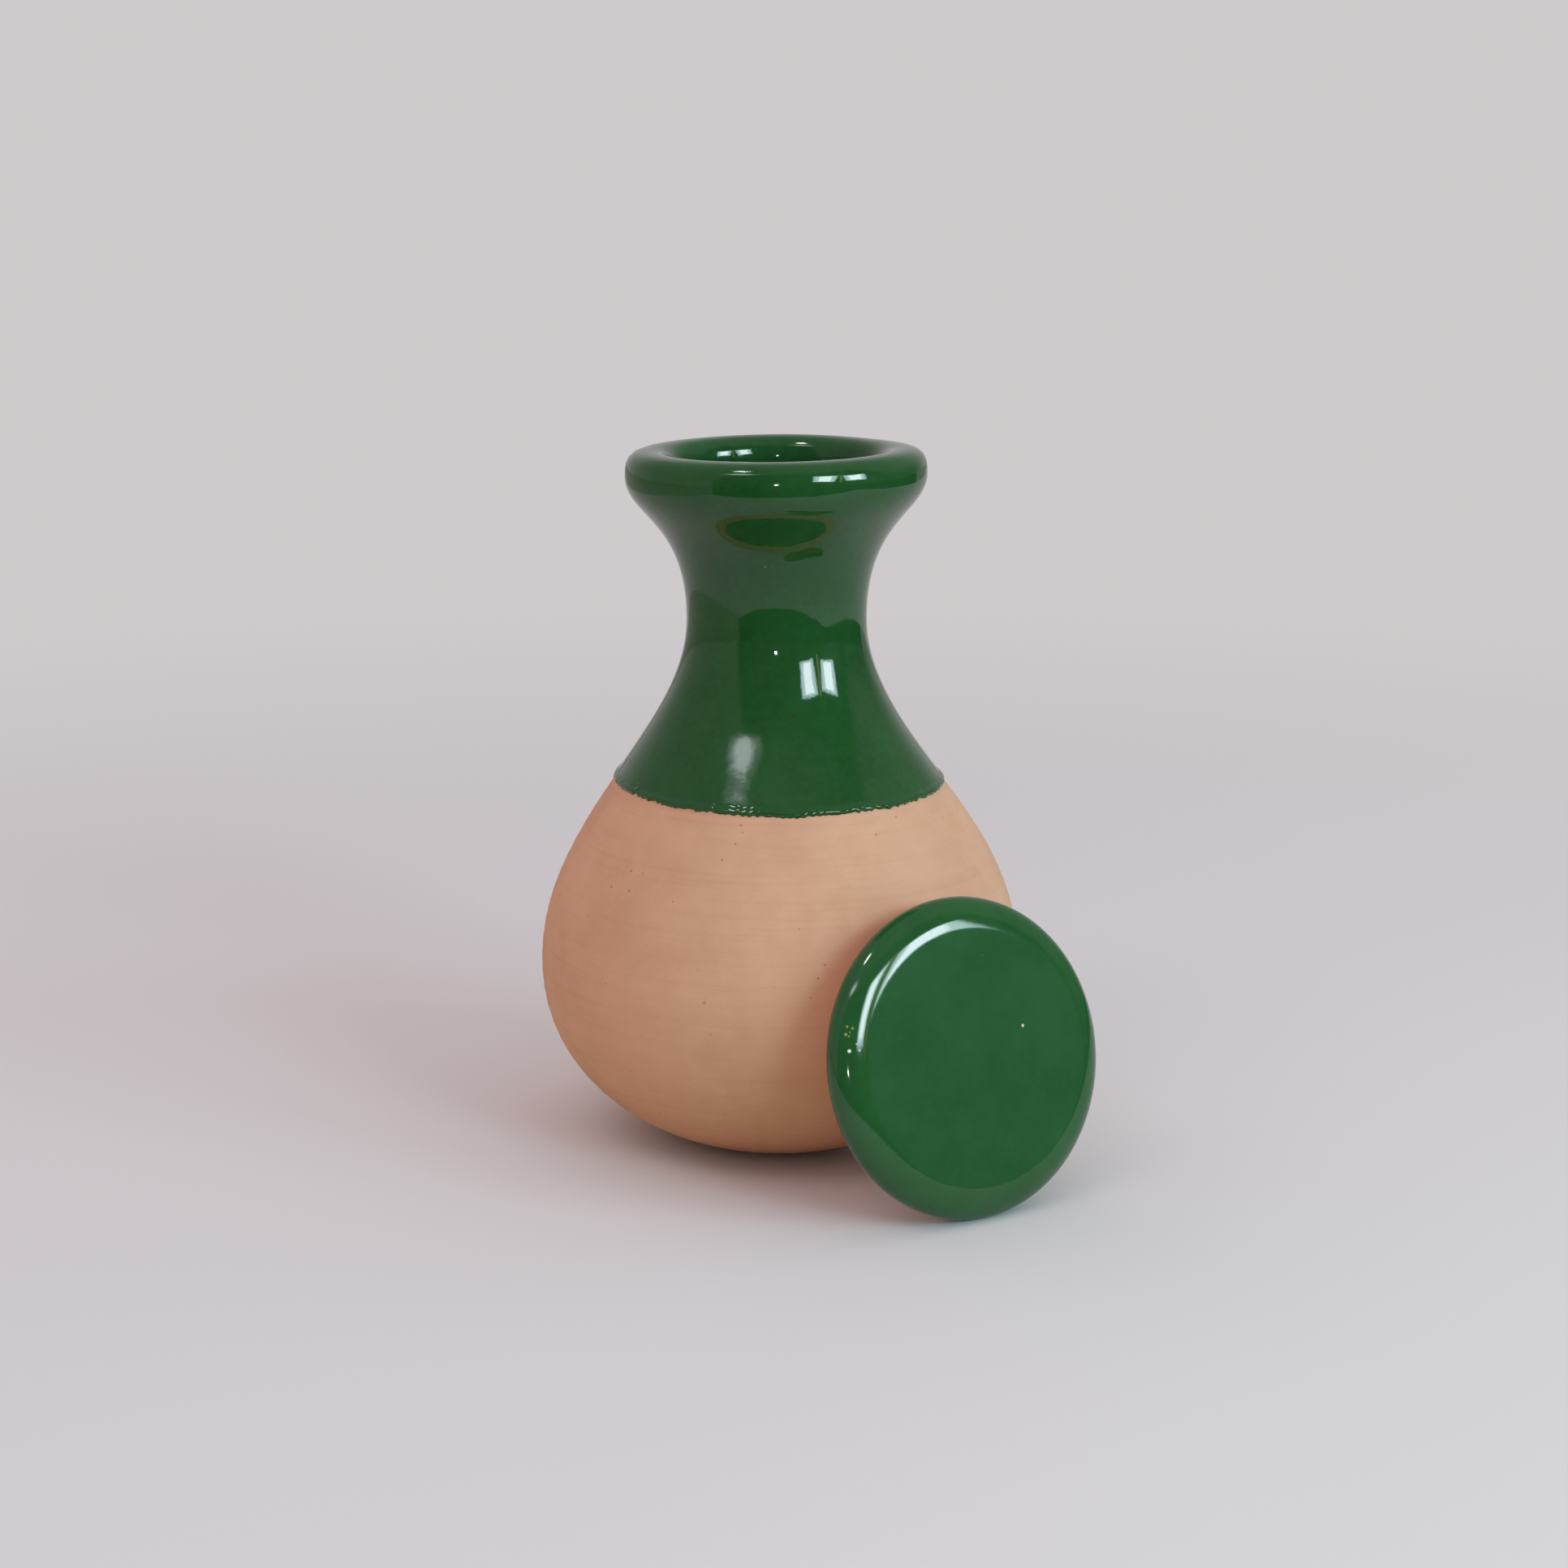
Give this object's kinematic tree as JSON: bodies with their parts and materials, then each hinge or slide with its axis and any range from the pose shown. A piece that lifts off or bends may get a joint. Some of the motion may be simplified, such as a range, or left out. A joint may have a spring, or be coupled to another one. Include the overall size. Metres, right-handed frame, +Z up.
{
  "type": "irrigation olla",
  "caption": "Round-bellied unglazed clay watering vessel with a glazed, narrow neck and rolled rim; its glazed round lid leans against the belly.",
  "frame": {"origin": "centre of the vessel's flat base, on the floor", "axes": "+Z up along the vessel's own axis; the lid stands on its edge on the floor at +X, -Y and leans on the belly"},
  "size_m": [0.1756, 0.1855, 0.225],
  "materials": {
    "terracotta": "matt unglazed earthenware, with a gloss green glaze on the neck, rim and throat",
    "green_glaze": "gloss green glaze over earthenware"
  },
  "bodies": {
    "root": {"olla_vessel": "terracotta", "olla_lid": "green_glaze"}
  },
  "joints": []
}
